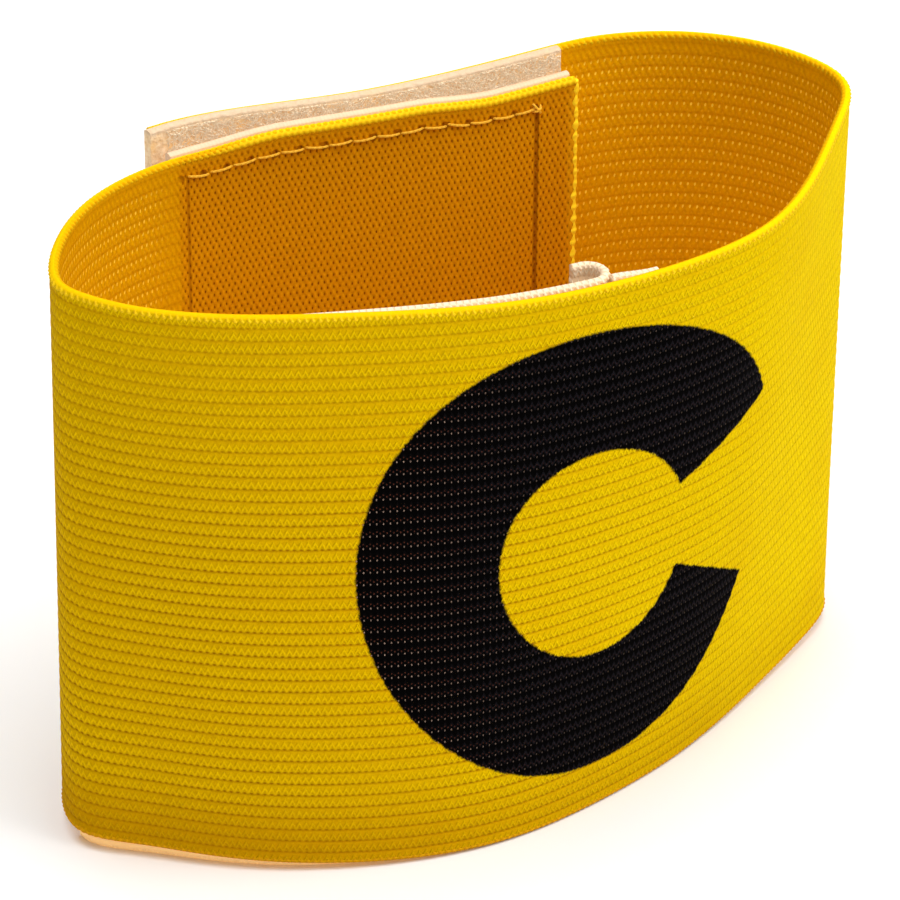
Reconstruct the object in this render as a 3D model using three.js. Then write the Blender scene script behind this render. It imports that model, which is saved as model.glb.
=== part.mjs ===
import * as THREE from 'three';

// Captain armband: one strip of knitted elastic, wrapped into a loop that stands on its long edge.
// Its ends overlap at the back, where hook tape on the inner end grips loop tape on the outer end.
// A second, cream strip lies against the inside of the front, and its free end turns back on itself.
//
// Millimetres, +Z up. X runs along the loop and the printed front faces -Y. "Along" is a length on the
// strip, measured from its inner end in the order back, left bend, front, right bend, back. "Offset" is
// a distance out of the wall's middle, away from the arm.

// The loop that the wall's middle follows at its top edge
const loopLength = 111;
const loopDepth = 49.6;
const footSplay = 8.4;

// The elastic strip
const bandHeight = 80;
const bandWall = 1.1;
const overlapLength = 55.5;
const bandRim = 0.5;
const bandFoot = 0.2;
const leftLift = 2.0;
const outerLift = 2.4;
const outerPeel = 2.2;
const peelLength = 30;

// The hook and loop tapes, as wide as the strip, each sewn to one of its ends a little above the rim
const hookWall = 0.9;
const hookProud = 0.6;
const hookInset = 0.3;
const hookOverrun = 0.5;
const loopWall = 1.2;
const loopProud = 0.5;
const loopInset = 0.8;
const loopEndInset = 0.3;

// The cream strip inside the front, as wide as the elastic one, and the short end past its fold
const liningWall = 1.0;
const liningTail = 1.4;
const foldRadius = 2.1;
const stubLength = 6.5;
const stubDrop = 0.7;

// Clearance between neighbouring layers, and the fineness of the faceting
const layerGap = 0.3;
const stationStep = 3;
const foldSteps = 8;
const heightSteps = 4;
const rimSteps = 4;

// The loop seen from above, in the order in which the strip runs. x and y are shares of half the
// loop's length and depth at the top edge. foot is how far the bottom edge stands outside (+) or
// inside (-) the top edge, as a share of footSplay.
const outline = [
  { x: 0.475, y: 0.98, foot: 0.12 },
  { x: 0.19, y: 0.94, foot: 0.06 },
  { x: -0.09, y: 0.95, foot: 0.06 },
  { x: -0.36, y: 0.98, foot: 0.06 },
  { x: -0.57, y: 0.93, foot: 0.06 },
  { x: -0.765, y: 0.725, foot: 0.06 },
  { x: -0.905, y: 0.39, foot: 0.06 },
  { x: -0.97, y: 0.06, foot: 0.05 },
  { x: -0.94, y: -0.15, foot: 0.00 },
  { x: -0.85, y: -0.37, foot: -0.12 },
  { x: -0.67, y: -0.605, foot: -0.04 },
  { x: -0.41, y: -0.80, foot: 0.08 },
  { x: -0.13, y: -0.955, foot: -0.12 },
  { x: 0.135, y: -1.0, foot: -0.53 },
  { x: 0.37, y: -0.95, foot: -0.86 },
  { x: 0.59, y: -0.78, foot: -1.0 },
  { x: 0.78, y: -0.41, foot: -0.72 },
  { x: 0.92, y: -0.03, foot: -0.26 },
  { x: 1.0, y: 0.32, foot: 0.10 },
  { x: 0.915, y: 0.71, foot: 0.40 },
  { x: 0.755, y: 0.925, foot: 0.38 },
  { x: 0.605, y: 0.985, foot: 0.24 },
];

// Places along the strip, as shares of one turn round the loop
const places = {
  innerRise: 0.034,
  leftBend: 0.34,
  liningStart: 0.35,
  frontRest: 0.6,
  fold: 0.622,
  frontRise: 0.66,
  rightBend: 0.855,
};

// Smooth closed curve

// Control values of the closed cubic B-spline that passes through the given values, by relaxation
function splineThrough(values) {
  const sweeps = 60;
  const count = values.length;
  const controls = values.slice();
  for (let sweep = 0; sweep < sweeps; sweep += 1) {
    for (let i = 0; i < count; i += 1) {
      const before = controls[(i + count - 1) % count];
      const after = controls[(i + 1) % count];
      controls[i] = (6 * values[i] - before - after) / 4;
    }
  }
  return controls;
}

// Value and slope of that spline at a parameter that counts the outline's rows
function splineAt(controls, t) {
  const count = controls.length;
  const row = Math.floor(t);
  const f = t - row;
  const [a, b, c, d] = [-1, 0, 1, 2].map((k) => controls[(((row + k) % count) + count) % count]);
  const value = (a * (1 - f) ** 3 + b * (3 * f ** 3 - 6 * f ** 2 + 4)
    + c * (-3 * f ** 3 + 3 * f ** 2 + 3 * f + 1) + d * f ** 3) / 6;
  const slope = (-a * (1 - f) ** 2 + b * (3 * f ** 2 - 4 * f)
    + c * (-3 * f ** 2 + 2 * f + 1) + d * f ** 2) / 2;
  return { value, slope };
}

const xSpline = splineThrough(outline.map((row) => (row.x * loopLength) / 2));
const ySpline = splineThrough(outline.map((row) => (row.y * loopDepth) / 2));
const footSpline = splineThrough(outline.map((row) => row.foot * footSplay));

// Length along the top edge against the spline's parameter
const lengthTable = [0];
const samplesPerRow = 60;
for (let i = 1; i <= outline.length * samplesPerRow; i += 1) {
  const [from, to] = [(i - 1) / samplesPerRow, i / samplesPerRow];
  const dx = splineAt(xSpline, to).value - splineAt(xSpline, from).value;
  const dy = splineAt(ySpline, to).value - splineAt(ySpline, from).value;
  lengthTable.push(lengthTable[i - 1] + Math.hypot(dx, dy));
}
const turnLength = lengthTable[lengthTable.length - 1];

function parameterAt(along) {
  const turns = Math.floor(along / turnLength);
  const rest = along - turns * turnLength;
  let [low, high] = [0, lengthTable.length - 1];
  while (high - low > 1) {
    const middle = (low + high) >> 1;
    if (lengthTable[middle] <= rest) low = middle;
    else high = middle;
  }
  const share = (rest - lengthTable[low]) / (lengthTable[high] - lengthTable[low]);
  return turns * outline.length + (low + share) / samplesPerRow;
}

// A point of the wall. The wall is ruled between its top and bottom edges, so its foot leans in or out.
function wallPoint(along, offset, z) {
  const t = parameterAt(along);
  const [x, y] = [splineAt(xSpline, t), splineAt(ySpline, t)];
  const speed = Math.hypot(x.slope, y.slope);
  const out = offset + splineAt(footSpline, t).value * (1 - z / bandHeight);
  return [x.value + (y.slope / speed) * out, y.value - (x.slope / speed) * out, z];
}

// Layers

const placeAlong = (share) => share * turnLength;
const outerEnd = turnLength + overlapLength;

// 0 before the first place, 1 after the second, and smooth between them
function ramp(from, to, at) {
  return THREE.MathUtils.smoothstep(at, from, to);
}

// The bottom edge's height: on the floor at the inner end and at the front's rest, lifted at the left
// bend, where the lining carries the strip, and again at the outer end
function bandLift(along) {
  const rise = ramp(placeAlong(places.innerRise), placeAlong(places.leftBend), along);
  const fall = ramp(placeAlong(places.liningStart), placeAlong(places.frontRest), along);
  const back = ramp(placeAlong(places.frontRise), turnLength, along);
  return leftLift * rise * (1 - fall) + outerLift * back;
}

const hookOffset = bandWall / 2 + layerGap + hookWall / 2;
const loopOffset = hookOffset + hookWall / 2 + layerGap + loopWall / 2;
const outerOffset = loopOffset + loopWall / 2 + layerGap + bandWall / 2;
const liningOffset = -(bandWall / 2 + layerGap + liningWall / 2);

// How far the outer end's tip stands off the closure, where it has begun to peel
function peelAt(along) {
  return outerPeel * ramp(outerEnd - peelLength, outerEnd, along);
}

function bandOffset(along) {
  return outerOffset * ramp(placeAlong(places.rightBend), turnLength, along) + peelAt(along);
}

// Lofted pieces

// Lengths from one place to another in even steps no longer than stationStep
function stations(from, to) {
  const count = Math.max(2, Math.ceil((to - from) / stationStep));
  return Array.from({ length: count + 1 }, (_, i) => from + ((to - from) * i) / count);
}

// The outline of a strip's cross-section: a round rim above, a flat foot with small chamfers below.
// Each corner has "across", a signed distance from the strip's middle, and a height.
function sectionCorners(wall, bottom, top, rim, foot) {
  const half = wall / 2;
  const corners = [{ across: half - foot, z: bottom }, { across: half, z: bottom + foot }];
  for (let i = 1; i < heightSteps; i += 1) {
    corners.push({ across: half, z: bottom + ((top - bottom) * i) / heightSteps });
  }
  for (let i = 0; i <= rimSteps; i += 1) {
    const angle = (Math.PI * i) / rimSteps;
    corners.push({ across: half * Math.cos(angle), z: top - rim + rim * Math.sin(angle) });
  }
  for (let i = heightSteps - 1; i > 0; i -= 1) {
    corners.push({ across: -half, z: bottom + ((top - bottom) * i) / heightSteps });
  }
  corners.push({ across: -half, z: bottom + foot }, { across: foot - half, z: bottom });
  return corners;
}

// Closed skin over a row of rings of the same size. Each end is a fan from the rim's crown, the ring's
// middle point.
function loftRings(rings) {
  const size = rings[0].length;
  const index = [];
  for (let ring = 0; ring + 1 < rings.length; ring += 1) {
    for (let i = 0; i < size; i += 1) {
      const [a, b] = [ring * size + i, ring * size + ((i + 1) % size)];
      index.push(a, b + size, b, a, a + size, b + size);
    }
  }
  const last = (rings.length - 1) * size;
  const crown = Math.floor(size / 2);
  for (let i = 1; i < size - 1; i += 1) {
    const [a, b] = [(crown + i) % size, (crown + i + 1) % size];
    index.push(crown, a, b, last + crown, last + b, last + a);
  }
  const geometry = new THREE.BufferGeometry();
  geometry.setAttribute('position', new THREE.Float32BufferAttribute(rings.flat(2), 3));
  geometry.setIndex(index);
  geometry.computeVertexNormals();
  return geometry;
}

// One strip. The path's steps each give a place along and an offset, the direction across the strip in
// those two, and the strip's bottom and top heights there.
function stripGeometry(path, wall, rim) {
  const rings = path.map((step) => sectionCorners(wall, step.bottom, step.top, rim, bandFoot)
    .map(({ across, z }) => wallPoint(
      step.along + across * step.acrossAlong,
      step.offset + across * step.acrossOffset,
      z,
    )));
  return loftRings(rings);
}

// A path that follows the wall
function wallPath(from, to, offsetAt, heights) {
  return stations(from, to).map((along) => ({
    along,
    offset: offsetAt(along),
    acrossAlong: 0,
    acrossOffset: 1,
    ...heights(along),
  }));
}

// The heights of a layer as wide as the elastic strip, raised a little above it
function heightsAt(along, proud) {
  const bottom = bandLift(along) + proud;
  return { bottom, top: bottom + bandHeight };
}

function bandPath() {
  return wallPath(0, outerEnd, bandOffset, (along) => heightsAt(along, 0));
}

function hookPath() {
  const to = overlapLength + hookOverrun;
  return wallPath(hookInset, to, () => hookOffset, (along) => heightsAt(along, hookProud));
}

function loopPath() {
  const [from, to] = [turnLength + loopInset, outerEnd - loopEndInset];
  const offsetAt = (along) => loopOffset + peelAt(along);
  return wallPath(from, to, offsetAt, (along) => heightsAt(along, loopProud));
}

// The lining runs along the wall to the fold, round a half circle, and back for a short tail
function liningPath() {
  const foldAt = placeAlong(places.fold) - foldRadius - liningWall / 2;
  const heights = { bottom: 0, top: bandHeight };
  const straight = wallPath(placeAlong(places.liningStart), foldAt, () => liningOffset, () => heights);
  const bend = Array.from({ length: foldSteps }, (_, i) => {
    const angle = (Math.PI * (i + 1)) / foldSteps;
    return {
      along: foldAt + foldRadius * Math.sin(angle),
      offset: liningOffset - foldRadius * (1 - Math.cos(angle)),
      acrossAlong: Math.sin(angle),
      acrossOffset: Math.cos(angle),
      ...heights,
    };
  });
  const tail = {
    along: foldAt - liningTail,
    offset: liningOffset - 2 * foldRadius,
    acrossAlong: 0,
    acrossOffset: -1,
    ...heights,
  };
  return [...straight, ...bend, tail];
}

function stubPath() {
  const from = placeAlong(places.fold) + layerGap;
  return wallPath(from, from + stubLength, () => liningOffset, (along) => ({
    bottom: 0,
    top: bandHeight - stubDrop * ramp(from, from + stubLength, along),
  }));
}

// Materials

function fabric(color, roughness) {
  return new THREE.MeshStandardMaterial({ color, roughness, metalness: 0 });
}

const yellowKnit = fabric(0xf0c400, 0.85);
const creamHook = fabric(0xf3e2cf, 0.6);
const creamPile = fabric(0xecd3bb, 0.95);
const creamKnit = fabric(0xf7e6c8, 0.85);

// Assembly

const pieces = [
  { name: 'band', path: bandPath(), wall: bandWall, rim: bandRim, material: yellowKnit },
  { name: 'hook_tape', path: hookPath(), wall: hookWall, rim: hookWall / 4, material: creamHook },
  { name: 'loop_tape', path: loopPath(), wall: loopWall, rim: loopWall / 4, material: creamPile },
  { name: 'lining', path: liningPath(), wall: liningWall, rim: liningWall / 3, material: creamKnit },
  { name: 'lining_stub', path: stubPath(), wall: liningWall, rim: liningWall / 3, material: creamKnit },
];

const group = new THREE.Group();
for (const { name, path, wall, rim, material } of pieces) {
  const mesh = new THREE.Mesh(stripGeometry(path, wall, rim), material);
  mesh.name = name;
  group.add(mesh);
}

// The origin is under the middle of the armband's own box
const box = new THREE.Box3().setFromObject(group);
const middle = box.getCenter(new THREE.Vector3());
group.position.set(-middle.x, -middle.y, -box.min.z);

export default group;
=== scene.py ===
# %% [markdown]
# Captain armband
#
# The real object is one strip of knitted elastic, 80 mm wide, closed round an upper arm with hook and
# loop tape. It stands on its long edge here. A cream strip lies against the inside of the front.
# The CAD model gives the place of every layer. Here each layer becomes a fine mesh on the same wall,
# with its knit, selvedges, seams, pile and print.

# %% Load the frame
import math

import bpy
import numpy as np
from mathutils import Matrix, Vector


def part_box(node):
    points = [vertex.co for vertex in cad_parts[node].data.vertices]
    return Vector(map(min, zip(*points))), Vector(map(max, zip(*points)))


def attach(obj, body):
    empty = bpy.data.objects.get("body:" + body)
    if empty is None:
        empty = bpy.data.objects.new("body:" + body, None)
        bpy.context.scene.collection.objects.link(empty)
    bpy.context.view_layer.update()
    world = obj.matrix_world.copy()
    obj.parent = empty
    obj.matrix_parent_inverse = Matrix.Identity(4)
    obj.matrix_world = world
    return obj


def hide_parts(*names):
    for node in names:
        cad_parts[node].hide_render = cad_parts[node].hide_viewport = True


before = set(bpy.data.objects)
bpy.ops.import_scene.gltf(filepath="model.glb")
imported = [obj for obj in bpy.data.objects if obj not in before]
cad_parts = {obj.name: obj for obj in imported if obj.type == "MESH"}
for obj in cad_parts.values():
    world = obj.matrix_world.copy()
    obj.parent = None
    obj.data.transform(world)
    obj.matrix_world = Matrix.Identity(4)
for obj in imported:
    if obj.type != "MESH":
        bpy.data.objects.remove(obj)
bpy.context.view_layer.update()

# %% [markdown]
# Sizes
#
# Metres, +Z up, the printed front faces -Y. They repeat the CAD model's own sizes, because a shape that
# stands for a CAD piece has to stay in its place. The waves, the spreads and the laps are small ways in
# which the cloth differs from the plain wall. "Along" is a length on the strip from its inner end,
# by way of the back, the left bend, the front and the right bend to the back again. "Offset" is a
# distance out of the wall's middle, away from the arm.

# %% Sizes of the strip and its layers
LOOP_LENGTH = 0.111
LOOP_DEPTH = 0.0496
FOOT_SPLAY = 0.0084
BAND_HEIGHT = 0.080
BAND_WALL = 0.0011
OVERLAP_LENGTH = 0.0555
LEFT_LIFT = 0.0020
OUTER_LIFT = 0.0024
OUTER_PEEL = 0.0022
PEEL_LENGTH = 0.030

HOOK_WALL = 0.0009
HOOK_PROUD = 0.0006
HOOK_INSET = 0.0003
HOOK_OVERRUN = 0.0005
LOOP_WALL = 0.0012
LOOP_PROUD = 0.0005
LOOP_INSET = 0.0008
LOOP_END_INSET = 0.0003
LOOP_LAP = 0.0012

LINING_WALL = 0.0010
LINING_TAIL = 0.0014
LINING_PROUD = 0.0004
FOLD_RADIUS = 0.0021
STUB_LENGTH = 0.0065
STUB_DROP = 0.0007

# The top edge of real cloth waves: up in the middle of the inner end, and up along the outer end.
INNER_WAVE = 0.00105
INNER_WAVE_UP = (0.20, 0.42)
INNER_WAVE_DOWN = (0.72, 0.95)
OUTER_WAVE = 0.0004

# The bends of real cloth give way a little more: the left one at its foot, the right one at its top.
# In front of the left one the foot is tucked in.
LEFT_SPREAD = 0.0012
LEFT_TUCK = 0.0005
RIGHT_SPREAD = 0.0005
SPREAD_REACH = 0.08

# The solids keep a gap between layers. Cloth has none, so the dressed layers fill most of it.
LAYER_GAP = 0.0003
GAP_LEFT = 0.00005

# %% Sizes of the knit
STITCH_PITCH = 0.00084
ROW_PITCH = 0.00174
print("Rows across the strip:", round(BAND_HEIGHT / ROW_PITCH))

# %% [markdown]
# The camera
#
# The photograph was taken from the front left and from above, with a long lens, since the loop's far
# and near edges have nearly the same scale. Two angles and a distance are easier to fit to a picture
# than a place and a turn, so the camera is set by them. It comes first, so that every later step can
# be looked at in the photograph's own frame.

# %% Camera
CAMERA_TARGET = Vector((-0.00042, 0.00407, 0.040))
CAMERA_AZIMUTH = -25
CAMERA_ELEVATION = 32
CAMERA_DISTANCE = 0.700
CAMERA_LENS = 218.74


def stand_off(name, data, target, azimuth, elevation, distance):
    """A camera or lamp that looks back at the target from a side, in degrees: azimuth 0 is the front,
    positive to the right, and elevation is upwards."""
    turn, rise = math.radians(azimuth), math.radians(elevation)
    away = Vector((math.sin(turn) * math.cos(rise), -math.cos(turn) * math.cos(rise), math.sin(rise)))
    item = bpy.data.objects.new(name, data)
    item.location = target + away * distance
    item.rotation_euler = (-away).to_track_quat("-Z", "Y").to_euler()
    bpy.context.scene.collection.objects.link(item)
    return item


def make_camera():
    """A long lens at the photograph's angle."""
    data = bpy.data.cameras.new("photo_camera")
    data.lens = CAMERA_LENS
    data.sensor_width = 36
    data.clip_start = 0.05
    data.clip_end = 20
    camera = stand_off("photo_camera", data, CAMERA_TARGET, CAMERA_AZIMUTH, CAMERA_ELEVATION,
                       CAMERA_DISTANCE)
    bpy.context.scene.camera = camera
    return camera


print("Camera at", [round(v, 3) for v in make_camera().location])

# %% [markdown]
# The wall of the loop
#
# Seen from above, the strip runs round a bean shape. It could be a Bezier curve with a Solidify
# modifier, but the layers have to follow each other closely, the fold leaves the wall and comes back,
# and the pattern needs true lengths. So the wall is a function: a length along the strip, an offset and
# a height give a point. A closed cubic B-spline through a few stations gives the outline, and
# a second value per station leans the wall in or out at its foot.

# %% Outline seen from above
# Shares of half the loop's length and depth, and of the foot's lean outwards
OUTLINE = np.array([
    (0.475, 0.98, 0.12),
    (0.19, 0.94, 0.06),
    (-0.09, 0.95, 0.06),
    (-0.36, 0.98, 0.06),
    (-0.57, 0.93, 0.06),
    (-0.765, 0.725, 0.06),
    (-0.905, 0.39, 0.06),
    (-0.97, 0.06, 0.05),
    (-0.94, -0.15, 0.00),
    (-0.85, -0.37, -0.12),
    (-0.67, -0.605, -0.04),
    (-0.41, -0.80, 0.08),
    (-0.13, -0.955, -0.12),
    (0.135, -1.0, -0.53),
    (0.37, -0.95, -0.86),
    (0.59, -0.78, -1.0),
    (0.78, -0.41, -0.72),
    (0.92, -0.03, -0.26),
    (1.0, 0.32, 0.10),
    (0.915, 0.71, 0.40),
    (0.755, 0.925, 0.38),
    (0.605, 0.985, 0.24),
], dtype=[("x", float), ("y", float), ("foot", float)])
print("Stations of the outline:", len(OUTLINE))

# %% Places along the strip
# Shares of one turn round the loop
PLACES = {
    "inner_rise": 0.034,
    "left_side": 0.315,
    "left_corner": 0.385,
    "left_bend": 0.34,
    "lining_start": 0.35,
    "front_rest": 0.6,
    "fold": 0.622,
    "front_rise": 0.66,
    "right_bend": 0.855,
}
print("Places along the strip:", len(PLACES))


# %% Spline through the stations
def spline_through(values):
    """Control values of the closed cubic B-spline through the values. Each value is a sixth of the
    control before, four sixths of its own and a sixth of the next, which a Fourier transform undoes."""
    turn = 2 * np.pi * np.arange(len(values)) / len(values)
    weight = (4 + 2 * np.cos(turn)) / 6
    return np.real(np.fft.ifft(np.fft.fft(values) / weight))


def spline_at(controls, t, slope=False):
    """Value or slope of the spline at parameter t: four neighbouring controls, each times its weight."""
    count = len(controls)
    row = np.floor(t).astype(int)
    f = t - row
    if slope:
        weights = (-(1 - f) ** 2 / 2, (3 * f**2 - 4 * f) / 2, (1 + 2 * f - 3 * f**2) / 2, f**2 / 2)
    else:
        weights = ((1 - f) ** 3 / 6, (3 * f**3 - 6 * f**2 + 4) / 6, (1 + 3 * f + 3 * f**2 - 3 * f**3) / 6,
                   f**3 / 6)
    return sum(w * controls[(row + k - 1) % count] for k, w in enumerate(weights))


# %% Length along the outline
X_CURVE = spline_through(OUTLINE["x"] * LOOP_LENGTH / 2)
Y_CURVE = spline_through(OUTLINE["y"] * LOOP_DEPTH / 2)
FOOT_CURVE = spline_through(OUTLINE["foot"] * FOOT_SPLAY)

# The spline's parameter against the length along the top edge
PARAMETERS = np.linspace(0, len(OUTLINE), 60 * len(OUTLINE) + 1)
edge_steps = np.hypot(np.diff(spline_at(X_CURVE, PARAMETERS)), np.diff(spline_at(Y_CURVE, PARAMETERS)))
LENGTHS = np.concatenate([[0], np.cumsum(edge_steps)])
TURN = LENGTHS[-1]
STRIP_LENGTH = TURN + OVERLAP_LENGTH
print("One turn", round(TURN, 4), "strip", round(STRIP_LENGTH, 4))


# %% Points of the wall
def wall_place(along, offset, z, spread=0.0):
    """Outline point at that length, moved along the outline's outward direction by the offset, by the
    spread and by the foot's lean, which grows from none at the top edge to all of it at the floor."""
    t = np.interp(np.mod(along, TURN), LENGTHS, PARAMETERS)
    run_x, run_y = spline_at(X_CURVE, t, slope=True), spline_at(Y_CURVE, t, slope=True)
    speed = np.hypot(run_x, run_y)
    out = offset + spline_at(FOOT_CURVE, t) * (1 - z / BAND_HEIGHT) + spread
    x = spline_at(X_CURVE, t) + run_y / speed * out
    y = spline_at(Y_CURVE, t) - run_x / speed * out
    return np.stack(np.broadcast_arrays(x, y, z), axis=-1)


def ramp(start, end, at):
    """0 before start, 1 after end, and 3 s squared minus 2 s cubed between them."""
    s = np.clip((at - start) / (end - start), 0, 1)
    return s * s * (3 - 2 * s)


def spread_at(along, z):
    """How far the bends stand out of the ruled wall: smooth humps, which grow from none at the top
    edge to all of it at the foot on the left, and the other way round on the right."""
    total = 0.0
    for place, size in (("left_side", LEFT_SPREAD * (1 - z / BAND_HEIGHT)),
                        ("left_corner", -LEFT_TUCK * (1 - z / BAND_HEIGHT)),
                        ("right_bend", RIGHT_SPREAD * z / BAND_HEIGHT)):
        far = np.abs(along / TURN - PLACES[place])
        total = total + size * ramp(SPREAD_REACH, 0, far)
    return total


# %% Edges and offsets of the strip
def bottom_at(along):
    """Height of the strip's bottom edge: up at the left bend, down on the front, up at the outer end."""
    rise = ramp(PLACES["inner_rise"] * TURN, PLACES["left_bend"] * TURN, along)
    fall = ramp(PLACES["lining_start"] * TURN, PLACES["front_rest"] * TURN, along)
    back = ramp(PLACES["front_rise"] * TURN, TURN, along)
    return LEFT_LIFT * rise * (1 - fall) + OUTER_LIFT * back


def height_at(along):
    """Height of the strip itself, with the waves of its top edge as shares of the overlap."""
    share = along / OVERLAP_LENGTH
    wave = INNER_WAVE * ramp(*INNER_WAVE_UP, share) * (1 - ramp(*INNER_WAVE_DOWN, share))
    return BAND_HEIGHT + wave + OUTER_WAVE * ramp(TURN - OVERLAP_LENGTH / 2, TURN, along)


def peel_at(along):
    """How far the outer end stands off the closure: nothing, then a smooth rise to its tip."""
    return OUTER_PEEL * ramp(STRIP_LENGTH - PEEL_LENGTH, STRIP_LENGTH, along)


HOOK_OFFSET = BAND_WALL / 2 + LAYER_GAP + HOOK_WALL / 2
LOOP_OFFSET = HOOK_OFFSET + HOOK_WALL / 2 + LAYER_GAP + LOOP_WALL / 2
OUTER_OFFSET = LOOP_OFFSET + LOOP_WALL / 2 + LAYER_GAP + BAND_WALL / 2
LINING_OFFSET = -(BAND_WALL / 2 + LAYER_GAP + LINING_WALL / 2)
GAP_FILL = LAYER_GAP - GAP_LEFT


def band_offset(along):
    """The strip's offset: none for the first turn, then out by the closure's thickness, and the peel."""
    return OUTER_OFFSET * ramp(PLACES["right_bend"] * TURN, TURN, along) + peel_at(along)


print("Offsets of hook, loop and outer end:", np.round((HOOK_OFFSET, LOOP_OFFSET, OUTER_OFFSET), 5))


# %% The wall's place in the frame
def centre_of_box():
    """Middle of the strip's own box, less the middle of the CAD strip's box, seen from above."""
    along = np.linspace(0, STRIP_LENGTH, 2000)[:, None, None]
    across = np.array([-BAND_WALL / 2, BAND_WALL / 2])[None, :, None]
    rise = np.array([0, BAND_HEIGHT])[None, None, :]
    points = wall_place(along, band_offset(along) + across, bottom_at(along) + rise).reshape(-1, 3)
    low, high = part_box("band")
    shift = (points.min(axis=0) + points.max(axis=0) - np.array(low) - np.array(high)) / 2
    return np.array([shift[0], shift[1], 0])


CENTRE = centre_of_box()
print("The outline's centre is moved by", np.round(CENTRE, 5))


def wall_point(along, offset, z):
    """A point of the wall in the CAD model's frame."""
    return wall_place(along, offset, z, spread_at(along, z)) - CENTRE


print("Top edge's first point", np.round(wall_point(0.0, 0.0, BAND_HEIGHT), 4))

# %% [markdown]
# Paths for the layers
#
# Each layer is a strip, carried along a path. A path's steps hold where the strip's middle is, which
# way is across it, its bottom edge, its height and the length of cloth so far. A Curve modifier would
# bend flat strips too, but it stretches them at a tight fold. The lining's free end turns back on
# itself in a half circle, and here its cloth keeps its length.

# %% Paths
PATH_KEYS = ("along", "offset", "turn_along", "turn_offset", "bottom", "height", "cloth")


def path_of(along, *others):
    """A path from its values in the order of the keys. A single number counts for every step."""
    return dict(zip(PATH_KEYS, (value + 0 * along for value in (along, *others))))


def wall_path(start, end, offset_at, bottom, step):
    """Even steps along the wall, with across pointing straight out of it."""
    along = np.linspace(start, end, max(3, math.ceil((end - start) / step) + 1))
    return path_of(along, offset_at(along), 0, 1, bottom(along), height_at(along), along)


def joined(*paths):
    """One path from several, end to end."""
    return {key: np.concatenate([path[key] for path in paths]) for key in paths[0]}


# %% Paths of the strip and the tapes
def band_path(step):
    """The elastic strip, from its inner end to its outer end."""
    return wall_path(0, STRIP_LENGTH, band_offset, bottom_at, step)


def hook_path(step):
    """The hook tape, outside the strip's inner end."""
    end = OVERLAP_LENGTH + HOOK_OVERRUN
    offset = HOOK_OFFSET - GAP_FILL / 2
    path = wall_path(HOOK_INSET, end, lambda q: offset, lambda q: bottom_at(q) + HOOK_PROUD, step)
    path["height"] = path["height"] - HOOK_INSET
    return path


def loop_path(step):
    """The loop tape. Its end laps a little over the strip's cut end."""
    start, end = TURN + LOOP_INSET, STRIP_LENGTH - LOOP_END_INSET + LOOP_LAP
    offset_at = lambda q: LOOP_OFFSET + GAP_FILL / 2 + peel_at(q)
    return wall_path(start, end, offset_at, lambda q: bottom_at(q) + LOOP_PROUD, step)


# %% Paths of the lining
def lining_path(step):
    """Along the wall, then a half circle inwards: along grows by radius times sine and the offset
    falls by radius times (1 - cosine). Then a short straight tail runs back."""
    offset = LINING_OFFSET + GAP_FILL
    fold_at = PLACES["fold"] * TURN - FOLD_RADIUS - LINING_WALL / 2
    straight = wall_path(PLACES["lining_start"] * TURN, fold_at, lambda q: offset, lambda q: 0, step)
    straight["height"] = straight["height"] + LINING_PROUD
    height = BAND_HEIGHT + LINING_PROUD
    bend_length = math.pi * FOLD_RADIUS
    angle = np.linspace(0, math.pi, max(12, math.ceil(bend_length / step)) + 1)[1:]
    along, inwards = FOLD_RADIUS * np.sin(angle), FOLD_RADIUS * (1 - np.cos(angle))
    bend = path_of(fold_at + along, offset - inwards, np.sin(angle), np.cos(angle), 0, height,
                   fold_at + FOLD_RADIUS * angle)
    back = np.linspace(0, LINING_TAIL, max(3, math.ceil(LINING_TAIL / step)) + 1)[1:]
    tail = path_of(fold_at - back, offset - 2 * FOLD_RADIUS, 0, -1, 0, height, fold_at + bend_length + back)
    return joined(straight, bend, tail)


def stub_path(step):
    """The short end past the fold. Its top edge falls a little."""
    start = PLACES["fold"] * TURN - LINING_WALL / 2
    path = wall_path(start, start + STUB_LENGTH, lambda q: LINING_OFFSET + GAP_FILL, lambda q: 0, step)
    path["height"] = BAND_HEIGHT + LINING_PROUD - STUB_DROP * ramp(start, start + STUB_LENGTH, path["along"])
    return path


def path_points(path, across, rise):
    """Points at a signed distance across the strip's middle and a height above its bottom edge."""
    along = path["along"][:, None] + across * path["turn_along"][:, None]
    offset = path["offset"][:, None] + across * path["turn_offset"][:, None]
    return wall_point(along, offset, path["bottom"][:, None] + rise)


MEASURE_STEP = 0.002
lining_length = lining_path(MEASURE_STEP)["cloth"][-1] - PLACES["lining_start"] * TURN
print("Lining cloth", round(lining_length, 4))

# %% [markdown]
# Meshes from arrays
#
# A strip is a grid: its path's steps by the points of its cross-section, which goes up the outer face,
# over the rim and down the inner face. Solidify would give the same wall, but here the faces carry
# ribs, and each has its own finish. Threads, pile and selvedges are round strands. Many strands are
# worked out at once as one array and become one mesh.

# %% Grids and pieces
SHARP_ANGLE = math.radians(55)


def grid_quads(rows, columns):
    """Corners of the quads of a grid whose columns close into rings, facing out of the ring."""
    start = np.arange(rows - 1)[:, None] * columns
    here = np.arange(columns)[None, :]
    above = (here + 1) % columns
    corners = [start + here, start + columns + here, start + columns + above, start + above]
    return np.stack(corners, axis=-1).reshape(-1, 4)


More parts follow.
